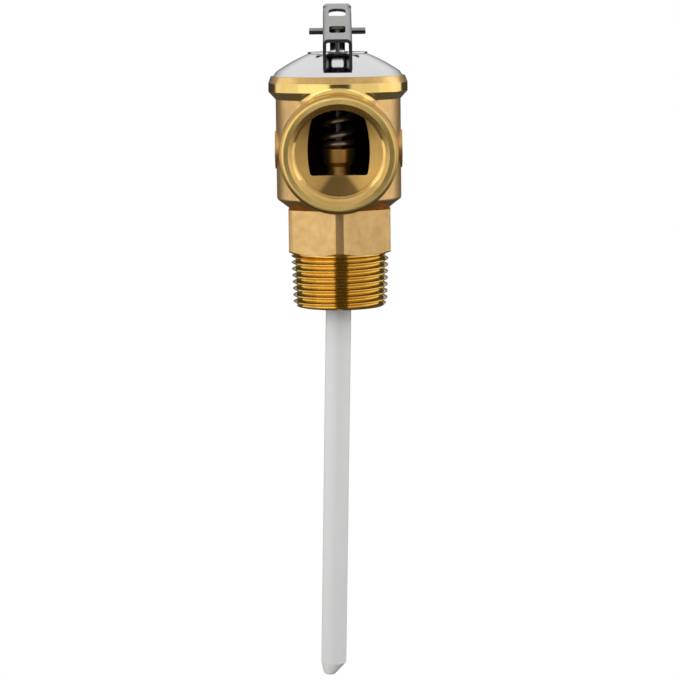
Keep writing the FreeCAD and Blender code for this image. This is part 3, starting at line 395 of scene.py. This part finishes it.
def soft_material(name, low, high, roughness, grain):
    """Rubber, fibre or wax: uneven colour and a fine matte grain."""
    material, tree, shader = new_material(name)
    m = Maths(tree)
    cloud = m.noise(grain / 6.0, 3.0)
    fine = m.noise(grain, 3.0)
    m.feed(m.mix(cloud, low, high), shader.inputs["Base Color"])
    m.feed(m.spread(fine, roughness * 0.85, roughness * 1.1), shader.inputs["Roughness"])
    m.link(m.bump(fine, 0.02 * MM, 0.5), shader.inputs["Normal"])
    return material


def put(material, *names):
    """Give CAD nodes their finish."""
    for name in names:
        slots = nodes[name].data.materials
        slots.clear()
        slots.append(material)


def squeeze_spring():
    """Copy of the CAD spring that stands in for it; the original is hidden."""
    cad_spring = nodes["main_spring"]
    spring = bpy.data.objects.new("lift_spring", cad_spring.data.copy())
    bpy.context.collection.objects.link(spring)
    spring.matrix_world = cad_spring.matrix_world
    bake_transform(spring)
    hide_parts("main_spring")


put(brass_body(), "body")
put(plated_cap(), "bonnet")
put(stamped_steel(), "lever")
put(white_plastic(), "probe_sheath")
put(turned_metal("bright_steel", colour(0.60, 0.60, 0.61), colour(0.74, 0.74, 0.75), 0.16, 4000.0),
    "push_rod", "disc_screw")
put(stem_steel(), "stem")
put(pin_steel(), "lever_pin")
put(turned_metal("plated_washer", colour(0.62, 0.62, 0.63), colour(0.75, 0.75, 0.76), 0.2, 2500.0),
    "lever_washer", "spring_button", "disc_retainer")
put(turned_metal("spring_steel", colour(0.56, 0.53, 0.49), colour(0.72, 0.69, 0.64), 0.42, 3000.0),
    "main_spring", "guide_snap_ring")
squeeze_spring()
put(turned_metal("holder_brass", colour(0.72, 0.45, 0.14), colour(0.86, 0.58, 0.22), 0.5, 4200.0),
    "disc_holder", "element_guide", "thermostat_head", "end_plug")
put(turned_metal("copper_tube", colour(0.62, 0.33, 0.22), colour(0.74, 0.43, 0.31), 0.3, 2200.0),
    "element_tube")
put(soft_material("seal_rubber", colour(0.02, 0.02, 0.02), colour(0.05, 0.05, 0.05), 0.7, 2400.0),
    "seat_disc", "rod_seal", "diaphragm")
put(soft_material("fibre_gasket", colour(0.16, 0.13, 0.1), colour(0.24, 0.2, 0.16), 0.85, 3200.0),
    "bonnet_gasket")
put(soft_material("wax", colour(0.72, 0.66, 0.48), colour(0.82, 0.76, 0.6), 0.5, 900.0), "wax_charge")


def make_camera():
    """Camera at the viewing angle, looking at the middle of the valve."""
    data = bpy.data.cameras.new("camera")
    camera = bpy.data.objects.new("camera", data)
    bpy.context.collection.objects.link(camera)
    data.lens = CAMERA_LENS_MM
    data.sensor_width = SENSOR_MM
    data.clip_start = 0.01
    elevation = math.radians(CAMERA_ELEVATION_DEG)
    back = Vector((0.0, -math.cos(elevation), math.sin(elevation)))
    camera.location = CAMERA_TARGET + back * CAMERA_DISTANCE
    level = (-back).to_track_quat("-Z", "Y").to_matrix()
    roll = Matrix.Rotation(math.radians(-CAMERA_ROLL_DEG), 3, "Z")
    camera.rotation_euler = (level @ roll).to_euler()
    bpy.context.scene.camera = camera


def area_light(name, centre, facing, width, height, radiance):
    """Softbox at centre that faces a point; its power gives the radiance asked for."""
    data = bpy.data.lights.new(name, "AREA")
    data.shape = "RECTANGLE"
    data.size = width
    data.size_y = height
    data.energy = radiance * width * height * math.pi
    light = bpy.data.objects.new(name, data)
    bpy.context.collection.objects.link(light)
    light.location = centre
    light.rotation_euler = (Vector(centre) - Vector(facing)).to_track_quat("Z", "Y").to_euler()
    light.visible_camera = False


def softbox(name, span_deg, radiance):
    """Upright softbox between two azimuths, where 0 is towards the camera."""
    ends = []
    for degrees in span_deg:
        angle = math.radians(degrees)
        ends.append(Vector((math.sin(angle), -math.cos(angle), 0.0)) * SOFTBOX_DISTANCE)
    middle = (ends[0] + ends[1]) / 2
    height = SOFTBOX_HIGH - SOFTBOX_LOW
    middle.z = (SOFTBOX_HIGH + SOFTBOX_LOW) / 2
    facing = Vector((0.0, 0.0, middle.z))
    area_light(name, middle, facing, (ends[0] - ends[1]).length, height, radiance)


def make_world():
    """White behind the valve; its reflections see a dim room that brightens overhead."""
    world = bpy.data.worlds.new("studio")
    bpy.context.scene.world = world
    world.use_nodes = True
    tree = world.node_tree
    background = tree.nodes["Background"]
    background.inputs["Color"].default_value = colour(1.0, 1.0, 1.0)
    place = tree.nodes.new("ShaderNodeTexCoord")
    parts = tree.nodes.new("ShaderNodeSeparateXYZ")
    ramp = tree.nodes.new("ShaderNodeMapRange")
    ramp.interpolation_type = "SMOOTHSTEP"
    path = tree.nodes.new("ShaderNodeLightPath")
    tree.links.new(place.outputs["Generated"], parts.inputs[0])
    tree.links.new(parts.outputs["Z"], ramp.inputs["Value"])
    ramp.inputs["From Min"].default_value = ROOM_CHANGE_LOW
    ramp.inputs["From Max"].default_value = ROOM_CHANGE_HIGH
    ramp.inputs["To Min"].default_value = ROOM_LOW
    ramp.inputs["To Max"].default_value = ROOM_HIGH
    seen = tree.nodes.new("ShaderNodeMath")
    seen.operation = "MAXIMUM"
    tree.links.new(path.outputs["Is Camera Ray"], seen.inputs[0])
    tree.links.new(ramp.outputs["Result"], seen.inputs[1])
    tree.links.new(seen.outputs[0], background.inputs["Strength"])


def make_floor():
    """Plain pale floor a little below the probe's tip, evenly lit where the camera sees it."""
    half = FLOOR_SIZE / 2
    height = cad_box[0].z - FLOOR_BELOW_TIP
    mesh = bpy.data.meshes.new("floor")
    corners = [(-half, -half, height), (half, -half, height), (half, half, height), (-half, half, height)]
    mesh.from_pydata(corners, [], [(0, 1, 2, 3)])
    floor = bpy.data.objects.new("floor", mesh)
    bpy.context.collection.objects.link(floor)
    material, tree, shader = new_material("floor")
    shader.inputs["Base Color"].default_value = colour(0.07, 0.068, 0.065)
    shader.inputs["Roughness"].default_value = 0.9
    glow = tree.nodes.new("ShaderNodeEmission")
    path = tree.nodes.new("ShaderNodeLightPath")
    blend = tree.nodes.new("ShaderNodeMixShader")
    tree.links.new(path.outputs["Is Camera Ray"], blend.inputs[0])
    tree.links.new(shader.outputs[0], blend.inputs[1])
    tree.links.new(glow.outputs[0], blend.inputs[2])
    tree.links.new(blend.outputs[0], tree.nodes["Material Output"].inputs["Surface"])
    mesh.materials.append(material)


make_camera()
for softbox_name, span_deg, radiance in SOFTBOXES:
    softbox(softbox_name, span_deg, radiance)
make_world()
make_floor()
bpy.context.scene.view_settings.view_transform = "Standard"
